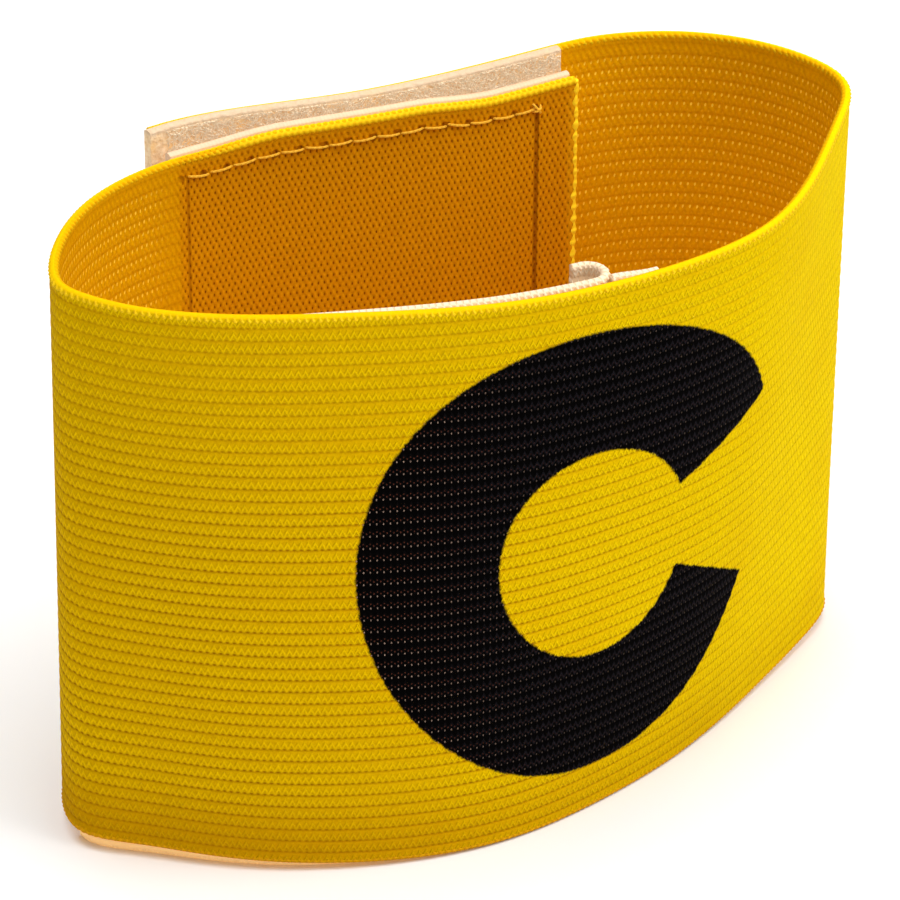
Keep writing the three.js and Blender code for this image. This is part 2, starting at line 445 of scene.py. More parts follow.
def add_piece(name, points, faces, cloth, materials, face_material=None):
    """A mesh object at the origin, smooth but for its sharp edges, with the UV map "cloth" in metres."""
    mesh = bpy.data.meshes.new(name)
    mesh.from_pydata(points.tolist(), [], faces)
    corner = np.zeros(len(mesh.loops), dtype=np.int32)
    mesh.loops.foreach_get("vertex_index", corner)
    uv = mesh.uv_layers.new(name="cloth")
    uv.data.foreach_set("uv", cloth[corner].astype(np.float32).ravel())
    for material in materials:
        mesh.materials.append(material)
    if face_material is not None:
        mesh.polygons.foreach_set("material_index", face_material.astype(np.int32))
    mesh.shade_smooth()
    mesh.set_sharp_from_angle(angle=SHARP_ANGLE)
    mesh.update()
    piece = bpy.data.objects.new(name, mesh)
    bpy.context.scene.collection.objects.link(piece)
    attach(piece, "root")
    print(name, len(mesh.polygons), "faces")
    return piece


# %% Cross-section of a strip
RIM_ROUNDING = 0.97


def section(wall, rim, rise, relief):
    """Half thickness of a strip at each share of its height: half the wall, less the relief, rounded
    off at both edges like an ellipse as high as the rim."""
    edge = np.clip((rim - np.minimum(rise, BAND_HEIGHT - rise)) / rim, 0, 1)
    return wall / 2 * np.sqrt(1 - RIM_ROUNDING * edge**2) - relief * (1 - edge)


def heights(samples_per_row, rim):
    """Heights of a strip's grid lines: even samples of each knitted row, and a few more at the rims."""
    body = np.linspace(rim, BAND_HEIGHT - rim, round(BAND_HEIGHT / ROW_PITCH * samples_per_row))
    foot = rim * (1 - np.cos(np.linspace(0, math.pi / 2, 5)[:-1]))
    return np.concatenate([foot, body, BAND_HEIGHT - foot[::-1]])


def row_groove(rise):
    """1 at the groove between two knitted rows and 0 on the rib: the fourth power of a cosine."""
    return np.cos(np.pi * rise / ROW_PITCH) ** 4


# %% A strip on a path
def add_strip(name, path, wall, rim, materials, samples_per_row=6, relief=(0.0, 0.0)):
    """A closed strip on a path. The relief is the grooves' depth on the outer and inner face, and the
    second material is for the inner face."""
    rise = heights(samples_per_row, rim)
    flat = 0 * path["along"][:, None]
    outer, inner = [section(wall, rim, rise, (flat + depth) * row_groove(rise)) for depth in relief]
    count = len(rise)
    across = np.concatenate([outer, -inner[:, ::-1]], axis=1)
    share = np.concatenate([rise, rise[::-1]])[None, :] / BAND_HEIGHT
    points = path_points(path, across, share * path["height"][:, None])
    steps = len(path["along"])
    cloth = np.stack(np.broadcast_arrays(path["cloth"][:, None], share * BAND_HEIGHT), axis=-1)
    quads = grid_quads(steps, 2 * count)
    up = np.arange(count - 1)
    down = 2 * count - 1 - up
    first = np.stack([down, up, up + 1, down - 1], axis=-1)
    last = first[:, ::-1] + (steps - 1) * 2 * count
    face_material = np.concatenate([
        np.tile(np.arange(2 * count) >= count, steps - 1),
        np.zeros(2 * len(first)),
    ])
    faces = np.concatenate([quads, first, last]).tolist()
    return add_piece(name, points.reshape(-1, 3), faces, cloth.reshape(-1, 2), materials,
                     face_material * (len(materials) > 1))


# %% Round strands
# The UV's width across a strand, and the small step that finds the way out of the wall
TURN_WIDTH = 0.001
PROBE = 0.0001


def unit(vectors):
    """Each vector over its own length."""
    return vectors / np.linalg.norm(vectors, axis=-1, keepdims=True)


def strands(lines, out, radius_side, radius_out, sides):
    """Points, quads and end triangles of round strands along many lines. A point is the line's own
    point, plus side times cosine and out times sine of the turn, each with its radius."""
    count, steps = lines.shape[:2]
    run = unit(np.gradient(lines, axis=1))
    side = unit(np.cross(run, out))
    out = np.cross(side, run)
    turn = 2 * np.pi * np.arange(sides) / sides
    radius_side, radius_out = [np.broadcast_to(radius, (count, steps, sides))[..., None]
                               for radius in (radius_side, radius_out)]
    ring = (lines[:, :, None]
            + side[:, :, None] * radius_side * np.cos(turn)[:, None]
            + out[:, :, None] * radius_out * np.sin(turn)[:, None])
    length = np.cumsum(np.linalg.norm(np.diff(lines, axis=1, prepend=lines[:, :1]), axis=-1), axis=1)
    cloth = np.stack(np.broadcast_arrays(length[:, :, None], TURN_WIDTH * np.sin(turn)), axis=-1)
    points = np.concatenate([ring.reshape(count, -1, 3), lines[:, [0, -1]]], axis=1)
    ends = np.stack([length[:, [0, -1]], 0 * length[:, [0, -1]]], axis=-1)
    cloth = np.concatenate([cloth.reshape(count, -1, 2), ends], axis=1)
    here = np.arange(sides)
    above = (here + 1) % sides
    rings = steps * sides
    first = np.stack([0 * here + rings, here, above], axis=-1)
    last = np.stack([0 * here + rings + 1, rings - sides + above, rings - sides + here], axis=-1)
    start = (np.arange(count) * (rings + 2))[:, None, None]
    quads = (grid_quads(steps, sides)[None] + start).reshape(-1, 4)
    fans = (np.concatenate([first, last])[None] + start).reshape(-1, 3)
    return points.reshape(-1, 3), cloth.reshape(-1, 2), quads, fans


def add_strands(name, bundles, material):
    """One mesh from bundles of strands, as strands() gives them."""
    points, cloth, faces, total = [], [], [], 0
    for bundle_points, bundle_cloth, quads, fans in bundles:
        points.append(bundle_points)
        cloth.append(bundle_cloth)
        faces += (quads + total).tolist() + (fans + total).tolist()
        total += len(bundle_points)
    return add_piece(name, np.concatenate(points), faces, np.concatenate(cloth), [material])


def out_of_wall(along, offset, z):
    """Outward direction of the wall at a place: the way from that place to one a little further out."""
    return unit(wall_point(along, offset + PROBE, z) - wall_point(along, offset, z))


# %% [markdown]
# Shader maths
#
# A knit's pattern is arithmetic on two lengths: along the cloth and up it. Written node by node that is
# hard to read, so a small class wraps a socket. Python's own operators on it add the Math nodes.

# %% Shader expressions
class Value:
    """One output of a node. Maths on it adds Math nodes to its material."""

    def __init__(self, finish, socket):
        self.finish = finish
        self.socket = socket

    def math(self, operation, *others):
        return self.finish.math(operation, self, *others)

    def __add__(self, other):
        return self.math("ADD", other)

    def __sub__(self, other):
        return self.math("SUBTRACT", other)

    def __mul__(self, other):
        return self.math("MULTIPLY", other)

    def __truediv__(self, other):
        return self.math("DIVIDE", other)

    def __rsub__(self, other):
        return self.finish.math("SUBTRACT", other, self)

    __radd__ = __add__
    __rmul__ = __mul__


class Finish:
    """A material round one Principled shader. node() adds every other node."""

    def __init__(self, name, constants):
        self.material = bpy.data.materials.new(name)
        self.material.use_nodes = True
        self.tree = self.material.node_tree
        self.tree.nodes.clear()
        self.shader = self.node("ShaderNodeBsdfPrincipled", {}, constants)
        self.node("ShaderNodeOutputMaterial", {}, {"Surface": self.shader})

    def feed(self, socket, value):
        if isinstance(value, Value):
            self.tree.links.new(value.socket, socket)
        else:
            socket.default_value = value

    def node(self, kind, settings, sockets, output=0):
        made = self.tree.nodes.new(kind)
        for name, value in settings.items():
            setattr(made, name, value)
        for name, value in sockets.items():
            self.feed(made.inputs[name], value)
        return Value(self, made.outputs[output]) if len(made.outputs) else None

    def math(self, operation, *values):
        return self.node("ShaderNodeMath", {"operation": operation}, dict(enumerate(values)))

    def mix(self, factor, a, b):
        """Colour a where the factor is 0 and b where it is 1. A tuple is a screen's red, green, blue."""
        a, b = [colour(*value) if isinstance(value, tuple) else value for value in (a, b)]
        return self.node("ShaderNodeMix", {"data_type": "RGBA"}, {0: factor, 6: a, 7: b}, output=2)

    def fade(self, value, none, full):
        """0 at none and 1 at full, with a smooth step between."""
        sockets = {"Value": value, "From Min": none, "From Max": full}
        return self.node("ShaderNodeMapRange", {"interpolation_type": "SMOOTHSTEP"}, sockets)

    def noise(self, scale, detail=2.0):
        """Cloudy values from 0 to 1 in the object's own space, so many clouds to a metre."""
        place = self.node("ShaderNodeTexCoord", {}, {}, output="Object")
        return self.node("ShaderNodeTexNoise", {}, {"Vector": place, "Scale": scale, "Detail": detail})

    def cloth(self):
        """Lengths along the cloth and up it, in metres."""
        uv = self.node("ShaderNodeUVMap", {"uv_map": "cloth"}, {})
        along = self.node("ShaderNodeSeparateXYZ", {}, {0: uv})
        return along, Value(self, along.socket.node.outputs[1])

    def surface(self, height, depth, sockets):
        """Feeds the shader, with a relief of that depth in metres where height goes from 0 to 1."""
        bump = self.node("ShaderNodeBump", {}, {"Height": height, "Distance": depth})
        for name, value in {**sockets, "Normal": bump}.items():
            self.feed(self.shader.socket.node.inputs[name], value)
        return self.material


def colour(red, green, blue):
    """A colour as a screen shows it, 0 to 255, turned into the shader's linear values."""
    screen = np.array([red, green, blue]) / 255
    linear = np.where(screen <= 0.04045, screen / 12.92, ((screen + 0.055) / 1.055) ** 2.4)
    return (*(float(v) for v in linear), 1.0)


# %% [markdown]
# The knit's pattern
#
# The elastic is a warp knit: rubber threads run along it, and fine yarn runs over them. Outside it reads
# as a row of steep Vs between two grooves. Inside, small diamond gaps stay between the yarns. They look
# dark where cloth lies behind, and bright where light comes through a single layer. Loops of real yarn
# would need millions of faces. A pattern worked out from the cloth's own lengths needs none, and keeps
# its pitch round every bend.

# %% Knit pattern
def spots(finish, a, b, centre, radius):
    """Soft dots, one in each stitch: 1 at the centre and 0 past the radius, all as shares of a stitch."""
    across = (a + (0.5 - centre[0])).math("FRACT") - 0.5
    up = (b + (0.5 - centre[1])).math("FRACT") - 0.5
    far = across * across / radius[0] ** 2 + up * up / radius[1] ** 2
    return finish.fade(far, 1.0, 0.1)


def steep_rows(finish, a, b):
    """The outer face: in each row the yarn runs up and down so steeply that it reads as a row of Vs,
    with their tips over the groove below. The height is 1 where the row share is near the V's own."""
    swing = a.math("PINGPONG", 0.5) * 2
    off = (b.math("FRACT") - 0.14 - swing * 0.48).math("ABSOLUTE")
    return finish.fade(off, 0.28, 0.05)


def lattice(a, b):
    """The inner face: cosine along times cosine up, which is 1 on the yarn's crossings and -1 at the
    gaps, with every half row a half stitch on."""
    return (a * (2 * math.pi)).math("COSINE") * (b * (2 * math.pi)).math("COSINE")


def knit_cell(finish):
    """Lengths along the cloth and up it, and the same two counted in stitches and rows."""
    along, up = finish.cloth()
    return along, up, along / STITCH_PITCH, up / ROW_PITCH


print("Stitches round one turn:", round(TURN / STITCH_PITCH))

# %% [markdown]
# The captain's mark
#
# The front carries a plain C, the usual sign for a team's captain. It is printed in black, and the knit
# shows through it. A thin black mesh laid on the cloth would stand off it and hide the stitches, so the
# mark is a part of the outer finish. It is a ring with a wedge cut from its right side.

# %% Sizes of the mark
MARK_ALONG = 0.1609
MARK_RISE = 0.0403
MARK_OUTER = (0.0321, 0.0333)
MARK_INNER = (0.0140, 0.0154)
MARK_LEAN = 0.06
CUT_ABOVE = math.radians(24.5)
CUT_BELOW = math.radians(-28)
MARK_SOFT = 0.0002
MARK_SPLIT = 0.001
print("The mark is", round(2 * MARK_OUTER[0], 4), "by", round(2 * MARK_OUTER[1], 4))


# %% Shape of the mark
def mark(finish, along, up, ragged):
    """1 inside the C: within the outer ellipse, outside the inner one, and not between two rays from
    their centre, which cut only its right side. The edge is as soft as a stitch is fine."""
    y = up - MARK_RISE
    x = along - MARK_ALONG + y * MARK_LEAN
    soft = MARK_SOFT

    def inside(radii):
        far = (x * x / radii[0] ** 2 + y * y / radii[1] ** 2).math("SQRT")
        return (1 - far) * radii[0] + ragged

    def above(angle):
        return y * math.cos(angle) - x * math.sin(angle) + ragged

    ring = finish.fade(inside(MARK_OUTER), -soft, soft) * finish.fade(inside(MARK_INNER), soft, -soft)
    wedge = finish.fade(above(CUT_ABOVE), soft, -soft) * finish.fade(above(CUT_BELOW), -soft, soft)
    right = finish.fade(x, 0, MARK_SPLIT)
    return ring * (1 - wedge * right)


# %% [markdown]
# Finishes of the elastic
#
# The outer face is bright yellow with the print. The inner face is in the loop's own shade. Light
# comes through its gaps where the strip is single, and they are dark at the closure, where tape lies
# behind. Translucent cloth would need many more samples and can't be baked, so a faint emission stands
# for that light. A row of needle holes and a crease follow each seam.

# %% Elastic, outer face
MATT = {"Roughness": 0.9, "Specular IOR Level": 0.02}
KNIT_DEPTH = 0.00022
# How far left of its centre the mark's print starts to wear thin, and where its wear is full. Over the
# same span the painted sheen on the mark's black yarn fades to dark.
MARK_WEAR_AND_SHEEN = (0.004, 0.030)


def outer_knit():
    """Yellow on the yarn's Vs, with painted shade in the grooves and pockets between them, and deeper
    painted shade from the back round the left bend to the left of the front and again past the right bend.
    There is painted shade along the foot, a painted highlight along the top edge, and the black mark mixed
    over it, with a painted sheen on its yarn."""
    finish = Finish("yellow_knit_outside", MATT)
    along, up, a, b = knit_cell(finish)
    yarn = steep_rows(finish, a, b)
    from_groove = ((b + 0.5).math("FRACT") - 0.5).math("ABSOLUTE")
    # The grooves and pockets, both their painted shade and their relief, are weaker towards the top edge.
    groove_and_pocket_strength = 0.45 + finish.fade(up, 0.076, 0.040) * 0.55
    groove = finish.fade(from_groove, 0.17, 0.02) * groove_and_pocket_strength
    pockets = spots(finish, a, b, (0.5, 0.07), (0.30, 0.12)) * groove_and_pocket_strength
    shade = finish.noise(60)
    fibre = finish.noise(2500)
    # Painted shade: from the back round the left bend to the left of the front, and again past the right
    # bend, the yarn is painted deeper and more orange, its Vs and grooves stronger and its pockets and foot
    # darker.
    painted_side_shade = finish.fade(along, 0.215, 0.110) + finish.fade(along, 0.232, 0.262) * 0.7
    # Painted shade in the grooves between rows.
    light = yarn * (0.20 + painted_side_shade * 0.28) + fibre * 0.8 - groove * (0.16 + painted_side_shade * 0.24)
    dark = finish.mix(painted_side_shade, (214, 172, 0), (196, 143, 0))
    bright = finish.mix(painted_side_shade, (254, 226, 0), (248, 203, 0))
    yellow = finish.mix(light, dark, bright)
    # Painted shade in the pockets between stitches.
    yellow = finish.mix(pockets * (0.30 + painted_side_shade * 0.45), yellow, (146, 84, 0))
    yellow = finish.mix(finish.fade(shade, 0.35, 0.8) * 0.25, yellow, (222, 166, 0))
    # Painted shade along the foot, next to the floor, deepest where the painted side shade is.
    foot = finish.fade(up, 0.013, 0.001) * (0.15 + painted_side_shade * 0.45)
    yellow = finish.mix(foot, yellow, (196, 134, 0))
    # Painted highlight along the top edge, where light from above falls on its rounded rim.
    rim = finish.fade(up, BAND_HEIGHT - 0.0014, BAND_HEIGHT - 0.0006)
    yellow = finish.mix(rim * 0.45, yellow, (252, 212, 8))
    wear_and_dim_sheen = finish.fade(along, MARK_ALONG - MARK_WEAR_AND_SHEEN[0], MARK_ALONG - MARK_WEAR_AND_SHEEN[1])
    # Painted sheen: the black yarn's Vs are painted grey, brightest on the right of the mark where the light
    # falls, and dark over the wear on its left.
    sheen = finish.mix(wear_and_dim_sheen, (33, 30, 35), (12, 9, 10))
    black = finish.mix(yarn * fibre, (3, 2, 2), sheen)
    holes = spots(finish, a, b, (0.5, 0.04), (0.13, 0.11))
    small_holes = (spots(finish, a, b, (0.0, 0.28), (0.13, 0.10))
                   + spots(finish, a, b, (0.5, 0.42), (0.13, 0.08)))
    black = finish.mix(small_holes * (0.2 + wear_and_dim_sheen * 0.9) * (0.3 + fibre), black, (96, 52, 38))
    black = finish.mix(holes * (0.16 + wear_and_dim_sheen * 0.6) * (0.1 + fibre * 1.5), black, (178, 150, 132))
    ragged = (yarn - 0.5) * 0.00010 + (fibre - 0.5) * 0.0003
    ink = mark(finish, along, up, ragged)
    height = yarn * 0.7 - groove * 0.3 - pockets * 0.3
    return finish.surface(height, KNIT_DEPTH, {"Base Color": finish.mix(ink, yellow, black)})


# %% Seams of the inner end
SEAM_INSET = 0.0029
STITCH_LENGTH = 0.0033
INNER_SEAM_ENDS = (0.0058, 0.0012)
INNER_SEAM = (INNER_SEAM_ENDS[0], OVERLAP_LENGTH - INNER_SEAM_ENDS[1])
# Distances at which a crease or a hole has faded out, and is full
RIGHT_CREASE = (0.00050, 0.00010)
LEFT_CREASE = (0.00035, 0.00005)
NEEDLE_HOLE = (0.0007, 0.0001)
SEAM_SOFT = 0.0003


def seam_marks(finish, along, up):
    """1 in the creases under the upright seams and at the needle holes of the level ones."""
    right = finish.fade((along - INNER_SEAM[0]).math("ABSOLUTE"), *RIGHT_CREASE)
    left = finish.fade((along - INNER_SEAM[1]).math("ABSOLUTE"), *LEFT_CREASE) * 0.6
    level = BAND_HEIGHT - SEAM_INSET
    step = (along - INNER_SEAM[0]) / STITCH_LENGTH + 0.5
    near = (step.math("FRACT") - 0.5) * STITCH_LENGTH
    wide, narrow = [size**2 for size in NEEDLE_HOLE]
    holes = [finish.fade(near * near + way * way, wide, narrow) for way in (up - level, up - SEAM_INSET)]
    within = (finish.fade(up, level + SEAM_SOFT, level)
              * finish.fade(up, SEAM_INSET - SEAM_SOFT, SEAM_INSET))
    between = finish.fade(along, INNER_SEAM[0] - SEAM_SOFT, INNER_SEAM[0])
    return ((right + left) * within + (holes[0] + holes[1]) * between).math("MINIMUM", 1.0)


print("Seams across the inner end at", [round(place, 4) for place in INNER_SEAM])

# %% Elastic, inner face
def inner_knit():
    """Single cloth is a light yellow, with painted shade in a line along each row and dots of painted light
    at its gaps. Backed cloth is painted deeper, for the shade where no light comes through, with slits,
    creases and needle holes of painted shade. A smooth step along the strip mixes the two, and a painted
    highlight runs along the top edge."""
    finish = Finish("yellow_knit_inside", {**MATT, "Emission Strength": 0.5})
    along, up, a, b = knit_cell(finish)
    cross = lattice(a, b)
    fibre = finish.noise(2500)
    dots = (spots(finish, a + b * 0.3, b, (0.5, 0.0), (0.18, 0.19))
            + spots(finish, a, b, (0.0, 0.5), (0.13, 0.14)) * 0.2)
    # Painted shade: a dark line along each row of the inner face.
    row_line = finish.fade((b.math("FRACT") - 0.26).math("ABSOLUTE"), 0.16, 0.03)
    slits = finish.fade(cross, -0.62, -0.95)
    backed = finish.fade(along, OVERLAP_LENGTH + 0.0008, OVERLAP_LENGTH - 0.0008)
    rim = finish.fade(up, BAND_HEIGHT - SEAM_INSET - 0.001, BAND_HEIGHT - SEAM_INSET + 0.0010)
    edge = finish.fade(up, BAND_HEIGHT - 0.0016, BAND_HEIGHT - 0.0008)
    ribs = a.math("PINGPONG", 0.5) * 2
    light = ribs * 0.12 + fibre * 0.8 - row_line * 0.22
    single = finish.mix(light, (206, 138, 0), (244, 183, 2))
    # Painted shade: the backed cloth is a deeper yellow than the single, as no light comes through it.
    double = finish.mix(cross * 0.25 + fibre * 0.8, (200, 125, 0), (243, 171, 8))
    # Painted shade in the slits of the backed cloth, where tape lies behind, less above the top seam.
    double = finish.mix(slits * (0.85 - rim * 0.70) * (0.45 + fibre), double, (138, 50, 0))
    # Painted shade in the creases of the upright seams and in the needle holes of the level ones.
    seam = seam_marks(finish, along, up) * backed
    double = finish.mix(seam * (0.2 + fibre * 0.9), double, (120, 48, 0))
    cut = finish.fade(along, 0.0017, 0.0003)
    double = finish.mix(cut * (0.2 + fibre * 0.7), double, (240, 176, 18))
    shown = finish.mix(backed, single, double)
    past_top = finish.fade(up, BAND_HEIGHT - 0.0015, BAND_HEIGHT - 0.0040)
    past_patch = finish.fade(along, OVERLAP_LENGTH + 0.001, OVERLAP_LENGTH + 0.006)
    # Painted light: bright dots at the gaps of the single cloth, in its colour and in its glow.
    glow = dots * past_patch * past_top * (0.1 + fibre * 0.9)
    shown = finish.mix(glow, shown, (255, 224, 84))
    # Painted highlight along the top edge of the inner face.
    shown = finish.mix(edge * (0.20 + ribs * 0.35), shown, (240, 184, 10))
    height = cross * 0.2 + fibre * 0.3 - slits * backed * 0.6 - seam * 0.8
    lit = finish.fade(along, PLACES["fold"] * TURN, PLACES["right_bend"] * TURN)
    through = finish.mix(lit, (52, 30, 0), (110, 76, 0))
    through = finish.mix(glow, through, (224, 174, 40))
    through = finish.mix(backed, through, (0, 0, 0))
    return finish.surface(height, KNIT_DEPTH, {"Base Color": shown, "Emission Color": through})


# %% [markdown]
# Finishes of the other pieces
#
# The selvedge is a chain of bright yarn. The lining is a plain cream knit, the hook tape smooth, and
# the loop tape's ground fine and its pile pale. The sewing thread is a lighter yellow than the knit.
# All yarns share one function, because they differ only in their colours, their twist and their glow.

# %% Yarns
def yarn_finish(name, dark, bright, lay, roughness=0.8, glow=0.0):
    """Twisted yarn: fine lines that run round the strand once each lay length. Pale yarn also passes
    on some light from behind, and the glow is painted light that stands for it."""
    constants = {"Roughness": roughness, "Specular IOR Level": 0.1, "Emission Color": colour(*bright),
                 "Emission Strength": glow}
    finish = Finish(name, constants)
    along, turn = finish.cloth()
    line = (along / lay + turn * (0.5 / TURN_WIDTH)).math("PINGPONG", 0.5) * 2
    light = line * 0.5 + finish.noise(2600) * 0.7 - 0.1
    return finish.surface(line, 0.00010, {"Base Color": finish.mix(light, dark, bright)})


# %% Cream knit of the lining
def cream_knit():
    """Cream Vs with small gaps of painted shade. The whole knit glows faintly, painted light that lifts its
    shaded fold, and a warmer line along the foot glows more, also painted light.
    """
    # Painted light: the lining glows, faintly all over and most along its foot.
    constants = {"Roughness": 0.85, "Specular IOR Level": 0.1, "Emission Strength": 0.35}
    finish = Finish("cream_knit_finish", constants)
    along, up, a, b = knit_cell(finish)
    yarn = steep_rows(finish, a, b)
    gaps = spots(finish, a, b, (0.5, 0.0), (0.2, 0.15))
    light = yarn * 0.6 + finish.noise(1800) * 0.5
    cream = finish.mix(light, (238, 208, 168), (253, 240, 216))
    # Painted shade in the gaps between stitches.
    cream = finish.mix(gaps * 0.4, cream, (196, 150, 104))
    # Painted light: the foot line is painted a warmer, brighter peach.
    foot = finish.fade(up, 0.0022, 0.0014)
    cream = finish.mix(foot, cream, (250, 200, 132))
    glow = finish.mix(foot, (112, 98, 80), (255, 208, 140))
    return finish.surface(yarn * 0.6 - gaps * 0.4, 0.0002, {"Base Color": cream, "Emission Color": glow})


# %% Tapes
WEAVE_PITCH = 0.0005
HOOK_PITCH = (0.0016, 0.0014)


def hook_finish():
    """Smooth tape with a fine weave of crossing threads, and hooks as a grid of small dots."""
    # Painted light: the hook tape glows faintly.
    constants = {"Roughness": 0.7, "Specular IOR Level": 0.2, "Emission Color": colour(248, 216, 190),
                 "Emission Strength": 0.13}
    finish = Finish("cream_hook_finish", constants)
    along, up = finish.cloth()
    weave = (along / WEAVE_PITCH).math("PINGPONG", 0.5) + (up / WEAVE_PITCH).math("PINGPONG", 0.5)
    hooks = spots(finish, along / HOOK_PITCH[0], up / HOOK_PITCH[1], (0.5, 0.5), (0.3, 0.3))
    light = weave * 0.5 + finish.noise(900) * 0.6
    cream = finish.mix(light, (210, 174, 138), (234, 202, 168))
    return finish.surface(weave * 0.3 + hooks * 0.7, 0.00012, {"Base Color": cream})


def pile_ground():
    """Felted ground of the loop tape: fine tangle, flecks of yellow, light from behind, and a top rim
    painted darker, painted shade.
    """
    constants = {"Roughness": 0.95, "Specular IOR Level": 0.1, "Emission Strength": 0.34}
    finish = Finish("cream_pile_finish", constants)
    tangle = finish.noise(1500, detail=4.0)
    clouds = finish.noise(420)
    cream = finish.mix(finish.fade(tangle, 0.3, 0.7), (208, 174, 132), (230, 204, 168))
    cream = finish.mix(finish.fade(clouds, 0.45, 0.75) * 0.5, cream, (244, 196, 118))
    up = finish.cloth()[1]
    # Painted shade: the tape's top rim is painted darker, against the light from above.
    rim = finish.fade(up, BAND_HEIGHT - 0.0008, BAND_HEIGHT - 0.0002)
    cream = finish.mix(rim * 0.7, cream, (190, 166, 140))
    return finish.surface(tangle, 0.0003, {"Base Color": cream, "Emission Color": cream})


# %% All finishes
OUTER_KNIT = outer_knit()
INNER_KNIT = inner_knit()
SELVEDGE = yarn_finish("yellow_selvedge", (232, 176, 0), (252, 212, 22), STITCH_PITCH)
CREAM_KNIT = cream_knit()
# Where a yarn below glows, its glow is painted light. The cream foot strand is also painted a warm, bright
# peach: painted light on the lining's foot.
CREAM_EDGE = yarn_finish("cream_selvedge", (224, 190, 152), (250, 228, 200), STITCH_PITCH, glow=0.10)
CREAM_FOOT = yarn_finish("cream_foot", (250, 196, 128), (255, 208, 140), 0.004, glow=0.35)
HOOK_TAPE = hook_finish()
PILE_GROUND = pile_ground()
PILE = yarn_finish("cream_pile_strands", (224, 196, 158), (238, 218, 188), 0.0006, glow=0.34)
THREAD = yarn_finish("sewing_thread", (228, 158, 22), (248, 198, 66), 0.0007, 0.5, glow=0.10)
# Painted shade: the strip's bottom selvedge is the selvedge's yarn painted darker, along the floor.
SHADED_FOOT = yarn_finish("yellow_foot_painted_shade", (204, 140, 0), (232, 172, 0), STITCH_PITCH)
# Painted light: the cut loops, in the loop's shade, are painted bright and glow.
CUT_LOOPS = yarn_finish("yellow_cut_loops", (240, 184, 0), (255, 220, 40), 0.0009, glow=0.22)
print("Materials made:", len(bpy.data.materials))

# %% [markdown]
# The elastic strip
#
# The strip itself is one closed mesh. Bump alone would shade its knitted ribs, but they show along the
# outline too, so their main relief is real. Its selvedges are strands that swell once a stitch, which
# gives the beaded line along both edges. The cut ends show a column of small loops, one or two to a
# row.

# %% Elastic strip
ROW_RELIEF = 0.00006
INNER_RELIEF = 0.00004
STRIP_RIM = 0.0004
STRIP_STEP = 0.00192
long_path = band_path(STRIP_STEP)
backed = ramp(OVERLAP_LENGTH + 0.003, OVERLAP_LENGTH, long_path["along"])[:, None]
strip = add_strip("elastic_strip", long_path, BAND_WALL, STRIP_RIM, [OUTER_KNIT, INNER_KNIT],
                  relief=(ROW_RELIEF, INNER_RELIEF * (1 - backed)))

# %% Selvedges
SELVEDGE_RADIUS = 0.00050
EDGE_PROUD = 0.00006
FINE_STEP = STITCH_PITCH / 5


def selvedge(path, wall, at_top, radius=SELVEDGE_RADIUS, swell=0.17, full=0.0):
    """A strand along a strip's top or bottom edge. Its radius swells and shrinks with the cosine of the
    stitch count, a quarter turn later on each next side, so the bumps slant. Over the hook tape the
    cloth bulges, and the strand is fuller by the share full."""
    middle = radius * (1 + swell)
    over_tape = ramp(OVERLAP_LENGTH, OVERLAP_LENGTH - 0.012, path["cloth"])[:, None]
    fuller = 1 + full * over_tape
    rise = path["height"][:, None] - middle if at_top else middle
    line = path_points(path, 0, rise)[None, :, 0]
    out = unit(path_points(path, PROBE, rise)[None, :, 0] - line)
    turn = 2 * np.pi * np.arange(8) / 8
    swell = swell * (1 - 0.5 * over_tape)
    bumps = 1 + swell * np.cos(2 * np.pi * path["cloth"][:, None] / STITCH_PITCH + turn)
    return strands(line, out, radius * bumps * fuller, (wall / 2 + EDGE_PROUD) * bumps * fuller, 8)


band_edges = add_strands("elastic_selvedge", [
    selvedge(band_path(FINE_STEP), BAND_WALL, at_top=True, full=0.22),
], SELVEDGE)
band_foot = add_strands("elastic_foot", [
    selvedge(band_path(FINE_STEP), BAND_WALL, at_top=False, swell=0.08),
], SHADED_FOOT)

# %% Cut ends
CUT_RADIUS = 0.00070
CUT_SETBACK = 0.0006
CUT_DRIFT = 0.00012


def cut_edge(along, offset, wall, seed):
    """A column of small loops over a strip's cut end: an upright strand whose radius swells at each
    half row, by a random share."""
    random = np.random.default_rng(seed)
    z = np.arange(0.0007, BAND_HEIGHT - 0.0005, ROW_PITCH / 8)
    swell = np.interp(z / ROW_PITCH * 2, np.arange(100), random.uniform(0.35, 1.0, 100))
    bumps = 0.72 + 0.28 * swell * np.cos(np.pi * z / ROW_PITCH) ** 2
    drift = np.interp(z / ROW_PITCH, np.arange(60), random.uniform(-CUT_DRIFT, CUT_DRIFT, 60))
    z = z + bottom_at(along)
    line = wall_point(along + drift, offset + 0 * z, z)[None]
    out = out_of_wall(along + drift, offset + 0 * z, z)[None]
    return strands(line, out, CUT_RADIUS * bumps[:, None], wall * 0.72 * bumps[:, None], 8)


cut_loops = add_strands("elastic_cut_ends", [
    cut_edge(0.0, 0.0, BAND_WALL, seed=3),
    cut_edge(STRIP_LENGTH - CUT_SETBACK, float(band_offset(STRIP_LENGTH)), BAND_WALL, seed=5),
], CUT_LOOPS)

# %% [markdown]
# The tapes of the closure
#
# The hook tape sits outside the inner end and the loop tape inside the outer end, so they meet. The
# loop tape's pile is thousands of little arches of fibre. Hair particles could make them, but a mesh
# of strands keeps its shape.

# %% Hook and loop tapes
TAPE_RIM = 0.0003
TAPE_STEP = 0.003
hook_tape = add_strip("hook_strip", hook_path(TAPE_STEP), HOOK_WALL + GAP_FILL, TAPE_RIM, [HOOK_TAPE],
                      samples_per_row=1)
loop_tape = add_strip("loop_strip", loop_path(TAPE_STEP), LOOP_WALL + GAP_FILL, TAPE_RIM, [PILE_GROUND],
                      samples_per_row=1)

